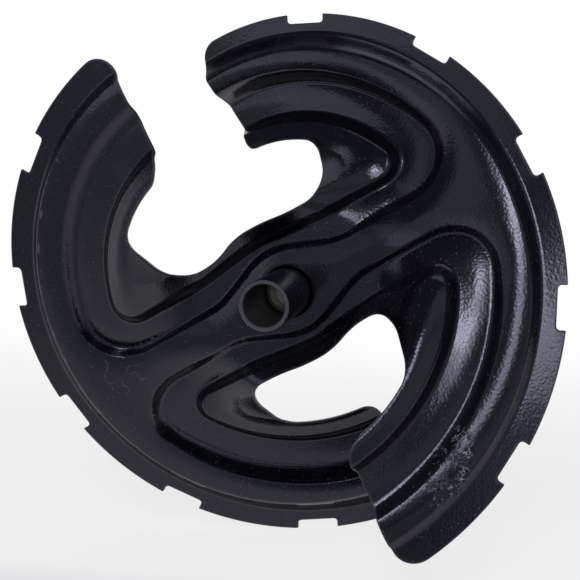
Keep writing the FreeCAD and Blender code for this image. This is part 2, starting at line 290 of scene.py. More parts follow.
def turn_from_web(x, z):
    """Angle from the middle of the nearer ribbon, within a quarter turn."""
    return math.atan2(z, x) if x >= 0 else math.atan2(-z, -x)


def height_at(x, z):
    return front_height(math.hypot(x, z), turn_from_web(x, z))


def lean(x, z):
    """Slope of the front face along x and along z."""
    along_x = height_at(x + SLOPE_STEP, z) - height_at(x - SLOPE_STEP, z)
    along_z = height_at(x, z + SLOPE_STEP) - height_at(x, z - SLOPE_STEP)
    return along_x / (2 * SLOPE_STEP), along_z / (2 * SLOPE_STEP)


print("front face beside the hub:", round(height_at(HUB_RING, 0.0), 1), "mm")

# %% [markdown]
# ## The flat sheet
# A pressed sheet needs enough points for its folds to look smooth. They are laid in rings round the hub,
# and those near a fold are moved onto rows that follow it. A triangulation then joins them to the outline.
# That keeps the edge exact, which a grid cut by booleans would not.

# %% Rows of points along the folds
FOLD_ROWS = 5
PROBE = 0.05
CROWDED = 0.55 * NET_STEP


def depth_at(line, x, z):
    return depth_inside(line, math.hypot(x, z), turn_from_web(x, z))


def settled(x, z):
    """A point of the net, moved onto the nearest row of a fold if one is near."""
    radius = math.hypot(x, z)
    if abs(radius - RIM_WALL_RADIUS) < RIM_WALL_WIDTH:
        row = RIM_WALL_WIDTH / FOLD_ROWS
        share = (RIM_WALL_RADIUS + row * round((radius - RIM_WALL_RADIUS) / row)) / radius
        return x * share, z * share
    for line, width in ((GROOVE_LINE, GROOVE_WALL_WIDTH), (CREASE_LINE, FLANGE_ROOT_WIDTH)):
        depth = depth_at(line, x, z)
        if abs(depth) < width:
            row = width / FOLD_ROWS
            step = (row * round(depth / row) - depth) / (2 * PROBE)
            x_slope = depth_at(line, x + PROBE, z) - depth_at(line, x - PROBE, z)
            z_slope = depth_at(line, x, z + PROBE) - depth_at(line, x, z - PROBE)
            return x + step * x_slope, z + step * z_slope
    return x, z


# %% Lay the net of points
ROW_STEP = 0.87 * NET_STEP
EDGE_CLEARANCE = 0.7 * NET_STEP


def ring_points(radius, count, shift=0.0):
    step = 2 * math.pi / count
    angles = [(index + shift) * step for index in range(count)]
    return [(radius * math.cos(angle), radius * math.sin(angle)) for angle in angles]


def closed_edges(start, count):
    return [(start + i, start + (i + 1) % count) for i in range(count)]


hub_loop = ring_points(HUB_RING, HUB_STEPS)
border = outline + hub_loop
edges = closed_edges(0, len(outline)) + closed_edges(len(outline), HUB_STEPS)
border_tree = kdtree.KDTree(len(border))
for index, (x, z) in enumerate(border):
    border_tree.insert((x, z, 0.0), index)
border_tree.balance()

net = {}
radius, row = HUB_RING + NET_STEP, 0
while radius < OUTER_RADIUS:
    for ring_point in ring_points(radius, round(2 * math.pi * radius / NET_STEP), 0.5 * (row % 2)):
        x, z = settled(*ring_point)
        if border_tree.find((x, z, 0.0))[2] > EDGE_CLEARANCE:
            net[round(x / CROWDED), round(z / CROWDED)] = (x, z)
    radius, row = radius + ROW_STEP, row + 1
print("net points:", len(net))

# %% Join the points and leave the hub hole open
INSIDE_ONLY = 1
SAME_POINT = 1e-5
HOLE_SHARE = 0.99
flat_points = [Vector(point) for point in border + list(net.values())]
joined = geometry.delaunay_2d_cdt(flat_points, edges, [], INSIDE_ONLY, SAME_POINT)
points, triangles = joined[0], joined[2]
hole_limit = HUB_RING * math.cos(math.pi / HUB_STEPS) * HOLE_SHARE


def middle_radius(triangle):
    return sum((points[index] for index in triangle), Vector((0, 0))).length / 3


kept = [triangle for triangle in triangles if middle_radius(triangle) > hole_limit]
used = sorted({index for triangle in kept for index in triangle})
place = {old: new for new, old in enumerate(used)}
corners = [(points[index].x * MM, 0.0, points[index].y * MM) for index in used]
faces = [[place[index] for index in triangle] for triangle in kept]
blank_mesh = bpy.data.meshes.new("spiral_flight_paint")
blank_mesh.from_pydata(corners, [], faces)
flight = bpy.data.objects.new("twisted_flight", blank_mesh)
bpy.context.scene.collection.objects.link(flight)
print("sheet points:", len(used), "triangles:", len(kept))


# %% Small helpers for working on one object at a time
def only(piece):
    bpy.ops.object.select_all(action="DESELECT")
    piece.hide_set(False)
    piece.select_set(True)
    bpy.context.view_layer.objects.active = piece


def add_modifier(piece, kind, **settings):
    """Adds a modifier with its settings and applies it at once."""
    modifier = piece.modifiers.new(kind.lower(), kind)
    for key, value in settings.items():
        setattr(modifier, key, value)
    only(piece)
    bpy.ops.object.modifier_apply(modifier=modifier.name)


def pick_faces(piece, wanted):
    """Edit mode with only the wanted faces selected."""
    only(piece)
    bpy.ops.object.mode_set(mode="EDIT")
    bpy.ops.mesh.select_mode(type="FACE")
    bpy.ops.mesh.select_all(action="DESELECT")
    bpy.ops.object.mode_set(mode="OBJECT")
    for face in piece.data.polygons:
        face.select = wanted(face)
    bpy.ops.object.mode_set(mode="EDIT")


def plan_radius(point):
    return math.hypot(point.x, point.z) / MM


# %% [markdown]
# ## Thickness and broken edges
# While the sheet is flat, thickness is one Solidify and the sheared edge one Bevel. The hub hole's wall is
# removed first, because the collar joins on there. Powder coat pulls away from a sharp edge, so the small
# bevel is what gives the thin light line along every rim in the photograph.

# %% Thicken the blank and break its edges
EDGE_BREAK = 0.55
BREAK_STEPS = 3
SHARP = math.radians(60)
TOUCH = 0.1


def in_hub_wall(face):
    return all(plan_radius(flight.data.vertices[index].co) < HUB_RING + TOUCH for index in face.vertices)


add_modifier(flight, "SOLIDIFY", thickness=SHEET * MM, offset=-1.0)
pick_faces(flight, in_hub_wall)
bpy.ops.mesh.delete(type="FACE")
bpy.ops.object.mode_set(mode="OBJECT")
sharp_only = {"limit_method": "ANGLE", "angle_limit": SHARP}
add_modifier(flight, "BEVEL", width=EDGE_BREAK * MM, segments=BREAK_STEPS, **sharp_only)
print("thick sheet faces:", len(flight.data.polygons))

# %% [markdown]
# ## The collar
# The web is drawn backwards into a collar round the tube. Its section is laid out once beside the axis and
# spun round it. The two open ends of the section meet the loops of the hub hole point for point, so they
# can be merged.

# %% The collar's section
COLLAR_DEPTH = 12.0
BEND_STEPS = 6
bend_centre = COLLAR_RADIUS + COLLAR_BEND
section = [(HUB_RING, 0.0)]
for step in range(BEND_STEPS + 1):
    angle = math.pi / 2 * step / BEND_STEPS
    section.append((bend_centre - COLLAR_BEND * math.sin(angle), COLLAR_BEND * (1 - math.cos(angle))))
back_of_collar = COLLAR_DEPTH - EDGE_BREAK
section += [(COLLAR_RADIUS, back_of_collar), (COLLAR_RADIUS + EDGE_BREAK, COLLAR_DEPTH)]
section += [(COLLAR_RADIUS + SHEET - EDGE_BREAK, COLLAR_DEPTH), (COLLAR_RADIUS + SHEET, back_of_collar)]
section += [(COLLAR_RADIUS + SHEET, SHEET + EDGE_BREAK), (COLLAR_RADIUS + SHEET + EDGE_BREAK, SHEET)]
section.append((HUB_RING, SHEET))
print("collar section:", len(section), "points")

# %% Spin the collar and join it to the sheet
SEAM_MERGE = 0.01
JOIN_MERGE = 0.02


def spun(name, outline_section, steps):
    """A ring made by spinning an open or closed section round the hub axis."""
    mesh = bpy.data.meshes.new(name)
    corners = [(out * MM, along * MM, 0.0) for out, along in outline_section]
    runs = [(index, index + 1) for index in range(len(corners) - 1)]
    mesh.from_pydata(corners, runs, [])
    piece = bpy.data.objects.new(name, mesh)
    bpy.context.scene.collection.objects.link(piece)
    only(piece)
    bpy.ops.object.mode_set(mode="EDIT")
    bpy.ops.mesh.select_all(action="SELECT")
    bpy.ops.mesh.spin(steps=steps, angle=2 * math.pi, center=(0, 0, 0), axis=(0, 1, 0))
    bpy.ops.mesh.select_all(action="SELECT")
    bpy.ops.mesh.remove_doubles(threshold=SEAM_MERGE * MM)
    bpy.ops.mesh.normals_make_consistent(inside=False)
    bpy.ops.object.mode_set(mode="OBJECT")
    return piece


collar = spun("collar", section, HUB_STEPS)
only(flight)
collar.select_set(True)
bpy.ops.object.join()
bpy.ops.object.mode_set(mode="EDIT")
bpy.ops.mesh.select_all(action="SELECT")
bpy.ops.mesh.remove_doubles(threshold=JOIN_MERGE * MM)
bpy.ops.mesh.normals_make_consistent(inside=False)
bpy.ops.object.mode_set(mode="OBJECT")
print("flight with collar:", len(flight.data.vertices), "points")

# %% [markdown]
# ## Pressing and twisting
# Every point of the flat sheet now moves along the hub axis to its height. The back follows the front at
# the sheet's thickness, which has to grow along the axis where a wall is steeper than the spiral itself.
# The slope of the form also gives the direction of each face, so the gloss runs evenly along the folds.

# %% Press every point to its height and turn the web to its angle
SPIRAL_SLOPE = 0.35
STEEPEST = 1.5
BOX_MARGIN = 0.05
FACE_SHARE = 0.001
WORN_AND_HIGHLIGHT_REACH = 1.3 * EDGE_BREAK
WORN_AND_HIGHLIGHT_FROM_RADIUS = 2 * HUB_RING
SHEET_SMOOTH = math.radians(50)
web_cos, web_sin = math.cos(WEB_ANGLE), math.sin(WEB_ANGLE)
front_limit, back_limit = cad_box[0].y / MM + BOX_MARGIN, cad_box[1].y / MM - BOX_MARGIN


def turned(x, y, z):
    return Vector((x * web_cos - z * web_sin, y, x * web_sin + z * web_cos))


cut_edge, sides, facing = [], [], []
for vertex in flight.data.vertices:
    x, y, z = vertex.co / MM
    radius = math.hypot(x, z)
    through = y / SHEET
    edge_share, side, forward = 0.0, 0, Vector((0, 0, 0))
    if radius > HUB_RING + TOUCH:
        along_x, along_z = lean(x, z)
        wall_slope = min(max(math.hypot(along_x, along_z) - SPIRAL_SLOPE, 0.0), STEEPEST)
        y = height_at(x, z) + through * SHEET * math.hypot(1, wall_slope)
        y = min(max(y, front_limit), back_limit)
        forward = turned(along_x, -1.0, along_z).normalized()
        side = 1 if through < FACE_SHARE else -1 if through > 1 - FACE_SHARE else 0
        # Points this near the cut edge carry the edge mark: thin paint, and partly a painted highlight.
        if radius > WORN_AND_HIGHLIGHT_FROM_RADIUS and border_tree.find((x, z, 0.0))[2] < WORN_AND_HIGHLIGHT_REACH:
            edge_share = 1.0
    else:
        y += HUB_LEVEL
    vertex.co = turned(x, y, z) * MM
    cut_edge.append(edge_share)
    sides.append(side)
    facing.append(forward)
flight.data.attributes.new("cut_edge", "FLOAT", "POINT").data.foreach_set("value", cut_edge)
front_side = [1.0 if side == 1 else 0.0 for side in sides]
flight.data.attributes.new("front_side", "FLOAT", "POINT").data.foreach_set("value", front_side)
only(flight)
bpy.ops.object.shade_smooth_by_angle(angle=SHEET_SMOOTH)
print("flight box:", [tuple(round(c / MM, 1) for c in corner) for corner in flight.bound_box][::6])

# %% Let both faces shade as the form runs, and the edges as they are
corner_normals = []
for face in flight.data.polygons:
    face_sides = {sides[index] for index in face.vertices}
    side = face_sides.pop() if len(face_sides) == 1 else 0
    corner_normals += [facing[index] * side for index in face.vertices]
flight.data.normals_split_custom_set(corner_normals)
print("shaded corners:", len(corner_normals))

# %% [markdown]
# ## The hub
# The tube, the sleeve inside it and the weld bead behind the web are all round, so each is a section spun
# round the axis. The tube and the sleeve share the cross hole for the shear pin, cut by a boolean. The bead
# is rippled by moving its points, as each puddle of a weld leaves a small wave.

# %% Tube and sleeve
TUBE_BORE = 11.2
SLEEVE_BORE = 9.65
SLEEVE_CLEARANCE = 0.05
PIN_RADIUS = 3.4
PIN_FROM_END = 12.0
PIN_STEPS = 48
END_BREAK = 0.5
ROUND_STEPS = 96
PIPE_SMOOTH = math.radians(30)
tube_low, tube_high = (corner.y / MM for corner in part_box("hub_tube"))
sleeve_low, sleeve_high = (corner.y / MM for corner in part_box("axle_sleeve"))


def pipe_section(outer, inner, low, high):
    """Closed section of a pipe wall with broken edges."""
    wall = [(outer, low + END_BREAK), (outer, high - END_BREAK)]
    wall += [(outer - END_BREAK, high), (inner + END_BREAK, high)]
    wall += [(inner, high - END_BREAK), (inner, low + END_BREAK)]
    wall += [(inner + END_BREAK, low), (outer - END_BREAK, low)]
    return wall + wall[:1]


bpy.ops.mesh.primitive_cylinder_add(
    vertices=PIN_STEPS, radius=PIN_RADIUS * MM, depth=4 * TUBE_RADIUS * MM,
    location=(0, (tube_high - PIN_FROM_END) * MM, 0), rotation=(0, math.pi / 2 - WEB_ANGLE, 0),
)
pin_cutter = bpy.context.active_object
tube_section = pipe_section(TUBE_RADIUS, TUBE_BORE, tube_low, tube_high)
sleeve_section = pipe_section(TUBE_BORE - SLEEVE_CLEARANCE, SLEEVE_BORE, sleeve_low, sleeve_high)
tube = spun("hub_pipe", tube_section, ROUND_STEPS)
sleeve = spun("bearing_sleeve", sleeve_section, ROUND_STEPS)
for pipe in (tube, sleeve):
    add_modifier(pipe, "BOOLEAN", operation="DIFFERENCE", object=pin_cutter, solver="EXACT")
    only(pipe)
    bpy.ops.object.shade_smooth_by_angle(angle=PIPE_SMOOTH)
bpy.data.objects.remove(pin_cutter)
print("tube:", len(tube.data.polygons), "faces, sleeve:", len(sleeve.data.polygons), "faces")

# %% Rippled weld bead
BEAD_STEPS = 192
BEAD_RIPPLES = 40
RIPPLE_HEIGHT = 0.22
RIPPLE_LEAN = 0.5
BEAD_SINK = 0.05
BEAD_FILL = 0.95
BEAD_HOLLOW = 0.22
BEAD_SMOOTH = math.radians(45)
ARC_STEPS = 7
weld_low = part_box("collar_weld")[0].y / MM
weld_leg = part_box("collar_weld")[1].y / MM - weld_low
bead_section = [(TUBE_RADIUS - BEAD_SINK, weld_low), (TUBE_RADIUS + BEAD_FILL * weld_leg, weld_low)]
for step in range(1, ARC_STEPS):
    angle = math.pi / 2 * step / ARC_STEPS
    reach = weld_leg * (BEAD_FILL - BEAD_HOLLOW * math.sin(2 * angle))
    bead_section.append((TUBE_RADIUS + reach * math.cos(angle), weld_low + reach * math.sin(angle)))
bead_section += [(TUBE_RADIUS - BEAD_SINK, weld_low + BEAD_FILL * weld_leg), bead_section[0]]
bead = spun("weld_bead", bead_section, BEAD_STEPS)
for vertex in bead.data.vertices:
    away = vertex.co.y / MM - weld_low
    radius = plan_radius(vertex.co)
    if away > TOUCH and radius > TUBE_RADIUS:
        turn = math.atan2(vertex.co.z, vertex.co.x)
        wave = RIPPLE_HEIGHT * abs(math.sin(BEAD_RIPPLES / 2 * turn + RIPPLE_LEAN * away)) - RIPPLE_HEIGHT
        vertex.co.x *= (radius + wave) / radius
        vertex.co.z *= (radius + wave) / radius
        vertex.co.y += wave * MM
only(bead)
bpy.ops.object.shade_smooth_by_angle(angle=BEAD_SMOOTH)
print("bead:", len(bead.data.polygons), "faces")


# %% [markdown]
# ## Writing shaders as sums
# A material is a set of sums on sockets. One small class lets Python's own signs add the Math nodes, and
# one method adds any other node. Then each finish below reads like a recipe.

# %% Shader sums
class Value:
    """A socket that can be added to, subtracted from, multiplied and divided."""

    def __init__(self, finish, socket):
        self.finish = finish
        self.socket = socket

    def math(self, operation, first, second):
        return self.finish.add("ShaderNodeMath", {"operation": operation}, {0: first, 1: second})

    def __add__(self, other):
        return self.math("ADD", self, other)

    __radd__ = __add__

    def __sub__(self, other):
        return self.math("SUBTRACT", self, other)

    def __rsub__(self, other):
        return self.math("SUBTRACT", other, self)

    def __mul__(self, other):
        return self.math("MULTIPLY", self, other)

    __rmul__ = __mul__

    def __truediv__(self, other):
        return self.math("DIVIDE", self, other)

    def root(self):
        return self.math("POWER", self, 0.5)

    def at_most(self, limit):
        return self.math("MINIMUM", self, limit)

    def at_least(self, limit):
        return self.math("MAXIMUM", self, limit)

    def ramp(self, low, high):
        """0 below low, 1 above high, smooth between; low may be the larger."""
        sockets = {"Value": self, "From Min": low, "From Max": high}
        return self.finish.add("ShaderNodeMapRange", {"interpolation_type": "SMOOTHSTEP"}, sockets)

    def line(self, level, half_width):
        """1 on a level, fading to 0 at half the width on both sides."""
        return self.ramp(level - half_width, level) * self.ramp(level + half_width, level)


class Finish:
    """A material that is written as a recipe of nodes."""

    def __init__(self, name):
        self.material = bpy.data.materials.new(name)
        self.material.use_nodes = True
        self.tree = self.material.node_tree
        self.shader = self.tree.nodes["Principled BSDF"]

    def add(self, kind, settings=None, inputs=None, output=0):
        node = self.tree.nodes.new(kind)
        for key, value in (settings or {}).items():
            setattr(node, key, value)
        for key, value in (inputs or {}).items():
            self.feed(node.inputs[key], value)
        return Value(self, node.outputs[output])

    def feed(self, socket, value):
        if isinstance(value, Value):
            self.tree.links.new(value.socket, socket)
        else:
            socket.default_value = value

    def set(self, **sockets):
        for name, value in sockets.items():
            self.feed(self.shader.inputs[name.replace("_", " ").title()], value)

    def place(self):
        return self.add("ShaderNodeTexCoord", output="Object")

    def axis(self, place, letter):
        return self.add("ShaderNodeSeparateXYZ", inputs={0: place}, output=letter)

    def attribute(self, name):
        return self.add("ShaderNodeAttribute", {"attribute_name": name}, output="Fac")

    def noise(self, place, grain):
        """A noise of the given grain, which is its scale per metre, its detail and its roughness."""
        scale, detail, roughness = grain
        sockets = {"Vector": place, "Scale": scale, "Detail": detail, "Roughness": roughness}
        return self.add("ShaderNodeTexNoise", inputs=sockets)

    def mix(self, share, first, second):
        """Colour between two colours."""
        settings = {"data_type": "RGBA"}
        return self.add("ShaderNodeMix", settings, {0: share, 6: first, 7: second}, output=2)

    def bump(self, height, strength, distance):
        sockets = {"Height": height, "Strength": strength, "Distance": distance}
        return self.add("ShaderNodeBump", inputs=sockets)


# %% [markdown]
# ## Gloss black powder coat
# Powder coat melts into a glossy skin with a fine orange-peel texture, and it is never perfectly clean:
# dust settles in specks and handling leaves faint rubs. The colour is a very dark blue-black, so nearly all
# that shows is reflection. One class holds the coat, and wear can be laid over it layer by layer.

# %% Colours and grains of the coat
PAINT_BLACK = (0.0028, 0.0031, 0.0052, 1)
PAINT_RUBBED = (0.008, 0.009, 0.0135, 1)
GLOSS_TINT = (0.84, 0.85, 1.0, 1)
DUST = (0.30, 0.28, 0.27, 1)
PEEL_GRAIN = (720.0, 0.0, 0.5)
SWELL_GRAIN = (120.0, 0.0, 0.5)
WAVE_GRAIN = (34.0, 0.0, 0.5)
PEEL_HEIGHT = 0.42
SWELL_HEIGHT = 0.3
WAVE_HEIGHT = 2.0
COAT_BUMP = 0.32
COAT_RELIEF = 0.0005
RUB_GRAIN = (26.0, 4.0, 0.6)
RUB_RANGE = (0.54, 0.72)
RUB_FADING = 0.5
COAT_ROUGH = 0.19
RUB_ROUGH = 0.08
SPECK_SCALE = 620.0
SPECK_SIZE = (0.24, 0.10)
SPECK_CHOICE = (0.60, 1.0)
DRIFT_GRAIN = (18.0, 2.0, 0.5)
DRIFT_RANGE = (0.40, 0.62)
DUST_LEAST = 0.15
DUST_DRIFTED = 0.45
DUST_ROUGH = 0.6
PATCH_CORE = 0.55
print("coat roughness:", COAT_ROUGH, "and", round(COAT_ROUGH + RUB_ROUGH, 2), "where rubbed")


# %% The coat
class BlackPaint(Finish):
    """Gloss black with orange peel, rubs and dust; wear and glue are laid over it."""

    def __init__(self, name):
        super().__init__(name)
        self.where = self.place()
        rubbed = self.noise(self.where, RUB_GRAIN).ramp(*RUB_RANGE)
        self.height = self.orange_peel()
        self.colour = self.mix(rubbed * RUB_FADING, PAINT_BLACK, PAINT_RUBBED)
        self.rough = COAT_ROUGH + RUB_ROUGH * rubbed
        self.cover(self.dust(), DUST, DUST_ROUGH)

    def orange_peel(self):
        peel = self.noise(self.where, PEEL_GRAIN)
        swell = self.noise(self.where, SWELL_GRAIN)
        waves = self.noise(self.where, WAVE_GRAIN)
        return PEEL_HEIGHT * peel + SWELL_HEIGHT * swell + WAVE_HEIGHT * waves

    def dust(self):
        """Specks in some cells of a cell pattern, stronger where dust has drifted together."""
        cells = {"Vector": self.where, "Scale": SPECK_SCALE}
        specks = self.add("ShaderNodeTexVoronoi", inputs=cells).ramp(*SPECK_SIZE)
        lot = self.add("ShaderNodeTexVoronoi", inputs=cells, output="Color")
        chosen = self.add("ShaderNodeSeparateColor", inputs={0: lot}).ramp(*SPECK_CHOICE)
        drifted = self.noise(self.where, DRIFT_GRAIN).ramp(*DRIFT_RANGE)
        return specks * chosen * (DUST_LEAST + DUST_DRIFTED * drifted)

    def cover(self, share, colour, rough):
        """Lays a colour with its own roughness over the paint."""
        self.colour = self.mix(share, self.colour, colour)
        self.rough = self.rough + share * (rough - self.rough)

    def within(self, centre, half_size, angle=0.0):
        """1 in the core of an ellipse across the hub axis, fading to 0 at its edge."""
        x = self.axis(self.where, "X") - centre[0] * MM
        z = self.axis(self.where, "Z") - centre[1] * MM
        along = (x * math.cos(angle) + z * math.sin(angle)) / (half_size[0] * MM)
        across = (z * math.cos(angle) - x * math.sin(angle)) / (half_size[1] * MM)
        return (along * along + across * across).ramp(1.0, PATCH_CORE)

    def done(self):
        self.set(base_color=self.colour, roughness=self.rough, specular_tint=GLOSS_TINT)
        self.set(normal=self.bump(self.height, COAT_BUMP, COAT_RELIEF))
        print(self.material.name, "has", len(self.tree.nodes), "nodes")
        return self


# %% [markdown]
# ## Wear on the flight, and a painted highlight on its cut edges
# Paint is thin on cut edges, and the lighter grey laid along them is partly that wear and partly a painted
# highlight. A place on the left half is scuffed, and the crease beside the left rim is chipped. On the
# lower right ribbon a torn label has left a blistered patch of glue. Each is a mask made of noise and
# place, because painted images would need files of their own. All but the edge marks lie on the front
# alone, so their masks use the mesh's own front_side value.

# %% Worn edges with a painted highlight, and scuffs
WORN_AND_HIGHLIGHT_GREY = (0.08, 0.08, 0.085, 1)
EDGE_WEAR_AND_HIGHLIGHT = 0.35
EDGE_ROUGH = 0.6
SCUFF_CENTRE = (-95.0, -51.0)
SCUFF_HALF_SIZE = (14.0, 14.0)
SCUFF_GRAIN = (90.0, 2.0, 0.5)
SCUFF_LEVEL = 0.5
SCUFF_LINE = 0.015
SCUFF_DEPTH = 0.28
SCUFF_ROUGH = 0.5

flight_paint = BlackPaint("flight_powder_coat")
# The lighter grey on cut edges is partly thin paint and partly a painted highlight.
flight_paint.cover(flight_paint.attribute("cut_edge") * EDGE_WEAR_AND_HIGHLIGHT, WORN_AND_HIGHLIGHT_GREY, EDGE_ROUGH)
front = flight_paint.attribute("front_side")
scratch = flight_paint.noise(flight_paint.where, SCUFF_GRAIN).line(SCUFF_LEVEL, SCUFF_LINE)
scuffed = flight_paint.within(SCUFF_CENTRE, SCUFF_HALF_SIZE) * front
flight_paint.cover(scratch * scuffed * SCUFF_DEPTH, DUST, SCUFF_ROUGH)
print("scuffs round", SCUFF_CENTRE)

# %% Chips along the crease beside the left rim
CREASE_RADIUS = 133.4
CREASE_HALF_WIDTH = 1.2
CHIP_GRAIN = (70.0, 3.0, 0.6)
CHIP_RANGE = (0.58, 0.66)
CHIPS_FADE_IN = -60.0
CHIPS_FULL = -90.0
CHIP_DEPTH = 0.35
CHIP_ROUGH = 0.5

x_side = flight_paint.axis(flight_paint.where, "X")
z_side = flight_paint.axis(flight_paint.where, "Z")
reach = (x_side * x_side + z_side * z_side).root()
on_crease = reach.line(CREASE_RADIUS * MM, CREASE_HALF_WIDTH * MM)
on_left = x_side.ramp(CHIPS_FADE_IN * MM, CHIPS_FULL * MM)
chipped = flight_paint.noise(flight_paint.where, CHIP_GRAIN).ramp(*CHIP_RANGE) * on_left
flight_paint.cover(on_crease * chipped * front * CHIP_DEPTH, DUST, CHIP_ROUGH)
print("chips at radius", CREASE_RADIUS)

# %% Torn label
GLUE = (0.55, 0.55, 0.58, 1)
GLUE_ROUGH = 0.35
LABEL_CENTRE = (98.5, -78.0)
LABEL_HALF_SIZE = (22.0, 11.0)
LABEL_ANGLE = math.radians(72.0)
TEAR_GRAIN = (120.0, 3.0, 0.6)
TORN_RANGE = (0.47, 0.50)
TORN_RIM_INSIDE = (0.472, 0.485)
TORN_RIM_OUTSIDE = (0.498, 0.487)
RIM_GLUE = 0.6
CURL_GRAIN = (60.0, 1.0, 0.5)
CURL_RANGE = (0.44, 0.54)
FLAKE_GRAIN = (420.0, 4.0, 0.7)
FLAKE_RANGE = (0.56, 0.62)
FLAKE_GLUE = 0.35
BLISTER_GRAIN = (900.0, 2.0, 0.6)
BLISTER_HEIGHT = 4.0

tear = flight_paint.noise(flight_paint.where, TEAR_GRAIN)
torn = tear.ramp(*TORN_RANGE)
torn_rim = tear.ramp(*TORN_RIM_INSIDE) * tear.ramp(*TORN_RIM_OUTSIDE)
curled = flight_paint.noise(flight_paint.where, CURL_GRAIN).ramp(*CURL_RANGE)
flake = flight_paint.noise(flight_paint.where, FLAKE_GRAIN).ramp(*FLAKE_RANGE)
blister = flight_paint.noise(flight_paint.where, BLISTER_GRAIN)
label = flight_paint.within(LABEL_CENTRE, LABEL_HALF_SIZE, LABEL_ANGLE) * front
glued = (torn_rim * curled * RIM_GLUE).at_least(torn * flake * FLAKE_GLUE)
flight_paint.cover(label * glued, GLUE, GLUE_ROUGH)
flight_paint.height = flight_paint.height + label * torn * (BLISTER_HEIGHT * (blister - 0.5))
flight_paint.done()

# %% [markdown]
# ## Paint on the hub
# The tube and the weld have the same coat. Over the tube's near end it is thin and grey, which shows as a
# pale ring round the bore.

# %% Hub and weld paint
END_WEAR = 0.9
END_ROUGH = 0.35
END_FADE = 0.2
end_level = tube_low + END_BREAK / 2

hub_paint = BlackPaint("hub_powder_coat")
at_end = hub_paint.axis(hub_paint.where, "Y").ramp((end_level + END_FADE) * MM, end_level * MM)
hub_paint.cover(at_end * END_WEAR, WORN_AND_HIGHLIGHT_GREY, END_ROUGH)
hub_paint.done()
weld_paint = BlackPaint("weld_powder_coat").done()

# %% [markdown]
# ## Bare steel in the bore
# The sleeve and the inside of the tube carry no paint. They are dull, slightly brown and streaked along the
# bore by the axle that slid through them. A noise that is stretched along the axis gives the streaks.

# %% Steel recipe
STEEL = (0.46, 0.45, 0.44, 1)
STEEL_STAINED = (0.24, 0.225, 0.21, 1)
DULL_STEEL = (0.13, 0.128, 0.125, 1)
DULL_STAINED = (0.06, 0.058, 0.055, 1)
DULL_SHEEN = (0.6, 0.6, 0.6, 1)
STREAK_STRETCH = (1.0, 0.08, 1.0)
STREAK_GRAIN = (1500.0, 3.0, 0.6)
STREAK_BUMP = 0.25
STREAK_RELIEF = 0.0002
STEEL_ROUGH = 0.45
STREAK_ROUGH = 0.25
STAIN_GRAIN = (120.0, 4.0, 0.6)
STAIN_RANGE = (0.42, 0.68)
STAIN_DULLING = 0.35


def bare_steel(name, clean, stained):
    steel = Finish(name)
    place = steel.place()
    stretched = steel.add("ShaderNodeMapping", inputs={"Vector": place, "Scale": STREAK_STRETCH})
    streaks = steel.noise(stretched, STREAK_GRAIN)
    stain = steel.noise(place, STAIN_GRAIN).ramp(*STAIN_RANGE)
    steel.set(base_color=steel.mix(stain, clean, stained), specular_tint=DULL_SHEEN)
    steel.set(roughness=STEEL_ROUGH + STREAK_ROUGH * streaks, metallic=1.0 - STAIN_DULLING * stain)
    steel.set(normal=steel.bump(streaks, STREAK_BUMP, STREAK_RELIEF))
    print(name, "has", len(steel.tree.nodes), "nodes")
    return steel


sleeve_steel = bare_steel("sleeve_steel", STEEL, STEEL_STAINED)
bore_steel = bare_steel("bore_steel", DULL_STEEL, DULL_STAINED)

# %% [markdown]
# ## Dressing the pieces
# Each piece gets its finish, rides on the part's one body and stands in for its CAD node. The tube has two
# finishes, and the faces of its bore take the second one.

# %% Dress the pieces and tie them to the frame
dressed = [
    (flight, [flight_paint], "spiral_flight", "flight_paint"),
    (tube, [hub_paint, bore_steel], "hub_tube", "hub_paint"),
    (sleeve, [sleeve_steel], "axle_sleeve", "bare_steel"),
    (bead, [weld_paint], "collar_weld", "weld_paint"),
]
for piece, finishes, node, slot in dressed:
    piece.data.materials.clear()
    for finish in finishes:
        piece.data.materials.append(finish.material)
    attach(piece, "root")
    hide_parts(node)
    print(piece.name, "replaces", node)
for face in tube.data.polygons:
    face.material_index = int(plan_radius(face.center) < TUBE_BORE + TOUCH)

# %% [markdown]
# ## Studio
# A pale floor, a white backdrop behind it and a few large soft lamps. Floor and backdrop show their plain
# colour to the camera and in reflections. Gloss black shows what it faces, so the floor turns grey in front
# of the part, where the left ribbon looks down on it. It runs far forward, so that views from behind show
# floor too. The key lamps stand above the camera, where the long highlights point, and dim lamps on both
# sides keep the other faces from going quite black.

# %% Floor and backdrop
PLAIN_WHITE = (1.0, 1.0, 1.0, 1)
GREY = (0.41, 0.41, 0.48, 1)
FLOOR_FRONT = -8.0
FLOOR_BACK = 2.4
BACKDROP_HALF_WIDTH = 1.6
BACKDROP_HALF_HEIGHT = 0.75
BACKDROP_X = -0.4
BACKDROP_Z = 0.25
floor_middle = (FLOOR_FRONT + FLOOR_BACK) / 2
bpy.ops.mesh.primitive_plane_add(size=FLOOR_BACK - FLOOR_FRONT, location=(0, floor_middle, cad_box[0].z))
floor = bpy.context.active_object
floor.name = "floor"
backdrop_place = (BACKDROP_X, FLOOR_BACK, BACKDROP_Z)
bpy.ops.mesh.primitive_plane_add(size=2.0, location=backdrop_place, rotation=(math.pi / 2, 0, 0))
backdrop = bpy.context.active_object
backdrop.name = "backdrop"
backdrop.scale = (BACKDROP_HALF_WIDTH, BACKDROP_HALF_HEIGHT, 1.0)
print("floor at", round(floor.location.z, 4))

# %% Paper for both, and the world
GREY_RANGE = (-0.03, -0.20)
GLOW_IN_FRONT = 0.78
GLOW_RANGE = (0.15, 0.8)
PAPER_ROUGH = 0.9
SKY = (0.82, 0.85, 1.0, 1)
SKY_STRENGTH = 0.11


